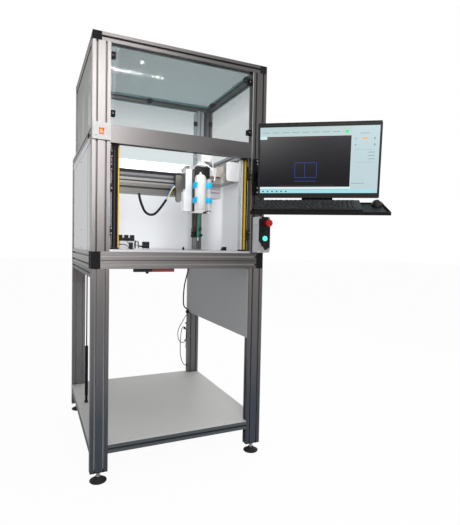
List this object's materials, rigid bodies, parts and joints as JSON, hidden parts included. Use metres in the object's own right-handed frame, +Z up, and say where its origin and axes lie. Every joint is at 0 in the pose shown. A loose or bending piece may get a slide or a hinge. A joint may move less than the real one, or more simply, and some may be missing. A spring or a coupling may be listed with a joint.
{
  "type": "dispensing machine",
  "caption": "Free-standing dispensing cell with slotted aluminium frame, guarded top box, three axis gantry, two-part dispensing head, light curtain and an arm with monitor and keyboard tray.",
  "frame": {"origin": "floor level, at the centre of the rectangle that the frame stands on", "axes": "+X to the right seen from the operator's side, +Y to the back, +Z up"},
  "size_m": [1.1667, 1.7875, 2.05],
  "materials": {
    "profile": "anodised, warm grey",
    "profile_dark": "anodised, warm grey in shade",
    "black_plastic": "moulded, matt",
    "black_rubber": "moulded, matt",
    "grey_sheet": "satin paint",
    "white_sheet": "satin paint",
    "bare_plate": "milled",
    "clear": "clear sheet, slightly green",
    "clear_plastic": "clear tube",
    "black_metal": "fine texture paint",
    "white_plastic": "smooth",
    "light_grey": "smooth",
    "module_grey": "anodised, natural",
    "brown_metal": "anodised, warm dark grey",
    "black_cable": "cable sheath",
    "red_plastic": "smooth",
    "green_plastic": "smooth",
    "blue_plastic": "smooth",
    "white_hose": "smooth"
  },
  "bodies": {
    "cell": {"legs": "profile", "frame_caps": "black_plastic", "levelling_feet": "black_rubber", "lower_rails": "profile_dark", "shelf_plate": "grey_sheet", "mid_rails": "profile", "table_plate": "bare_plate", "front_posts": "profile", "rear_posts": "profile", "inner_posts": "profile", "cross_beam": "profile", "loop_rails": "profile", "top_rails": "profile", "front_panel": "clear", "guard_panels": "clear", "panel_clamps": "black_plastic", "lower_sheets": "white_sheet", "apron_plate": "grey_sheet", "cable_fittings": "black_plastic", "gas_strut": "black_metal", "rail_fitting": "black_metal", "switch_plate": "white_plastic", "light_curtains": "black_metal", "control_box": "light_grey", "control_plate": "black_plastic", "gantry_beams": "module_grey", "beam_covers": "white_plastic", "terminal_block": "black_plastic", "sensor_unit": "bare_plate", "table_stops": "black_plastic", "arm_base": "black_metal", "under_cable": "black_cable", "under_lead": "black_cable"},
    "rocker_body": {"rocker": "red_plastic"},
    "estop_body": {"estop_button": "red_plastic"},
    "start_body": {"start_button": "green_plastic"},
    "reset_body": {"reset_button": "black_plastic"},
    "stop_body": {"stop_button": "black_plastic"},
    "gantry": {"gantry_carriages": "brown_metal", "x_support": "brown_metal", "x_module": "module_grey", "gantry_cable": "black_cable"},
    "carriage": {"x_carriage": "brown_metal", "z_housing": "white_sheet"},
    "head": {"head_slide": "brown_metal", "drive_block": "black_plastic", "drive_motor": "white_plastic", "cartridge": "white_plastic", "clear_cylinder": "clear_plastic", "cartridge_clips": "blue_plastic", "nozzle_bracket": "brown_metal", "static_mixer": "green_plastic", "head_hoses": "white_hose"},
    "lower_arm": {"lower_link": "black_metal"},
    "upper_arm": {"upper_link": "black_metal"},
    "swivel": {"head_swivel": "black_metal"},
    "display": {"tray_bracket": "black_metal", "monitor": "black_plastic"},
    "tray": {"keyboard_tray": "black_metal", "keyboard_mouse": "black_plastic"}
  },
  "joints": [
    {"name": "rocker_tilt", "type": "hinge", "parent": "cell", "child": "rocker_body", "pos_m": [-0.401, -0.507, 1.6075], "axis": [1, 0, 0], "range_deg": [-12, 0]},
    {"name": "estop_press", "type": "slide", "parent": "cell", "child": "estop_body", "axis": [0, 1, 0], "range_m": [0, 0.005]},
    {"name": "start_press", "type": "slide", "parent": "cell", "child": "start_body", "axis": [0, 1, 0], "range_m": [0, 0.003], "stiffness_N_per_m": 500, "springref_m": -0.003},
    {"name": "reset_press", "type": "slide", "parent": "cell", "child": "reset_body", "axis": [0, 1, 0], "range_m": [0, 0.003], "stiffness_N_per_m": 500, "springref_m": -0.003},
    {"name": "stop_press", "type": "slide", "parent": "cell", "child": "stop_body", "axis": [0, 1, 0], "range_m": [0, 0.003], "stiffness_N_per_m": 500, "springref_m": -0.003},
    {"name": "gantry_travel", "type": "slide", "parent": "cell", "child": "gantry", "axis": [0, 1, 0], "range_m": [-0.09, 0.2]},
    {"name": "carriage_travel", "type": "slide", "parent": "gantry", "child": "carriage", "axis": [1, 0, 0], "range_m": [-0.38, 0.07], "deforming": ["gantry_cable"]},
    {"name": "head_travel", "type": "slide", "parent": "carriage", "child": "head", "axis": [0, 0, 1], "range_m": [-0.045, 0.06]},
    {"name": "arm_shoulder", "type": "hinge", "parent": "cell", "child": "lower_arm", "pos_m": [0.402, -0.56, 1.47], "axis": [0, 0, 1], "range_deg": [-25, 50]},
    {"name": "arm_elbow", "type": "hinge", "parent": "lower_arm", "child": "upper_arm", "pos_m": [0.5802, -0.6508, 1.47], "axis": [0, 0, 1], "range_deg": [-20, 55]},
    {"name": "arm_swivel", "type": "hinge", "parent": "upper_arm", "child": "swivel", "pos_m": [0.52844, -0.84398, 1.47], "axis": [0, 0, 1], "range_deg": [-20, 40]},
    {"name": "monitor_tilt", "type": "hinge", "parent": "swivel", "child": "display", "pos_m": [0.50831, -0.87383, 1.47], "axis": [0.829, -0.5592, 0], "range_deg": [-20, 5]},
    {"name": "tray_tilt", "type": "hinge", "parent": "display", "child": "tray", "pos_m": [0.47971, -0.91622, 1.30932], "axis": [0.829, -0.5592, 0], "range_deg": [-16, 20]}
  ]
}
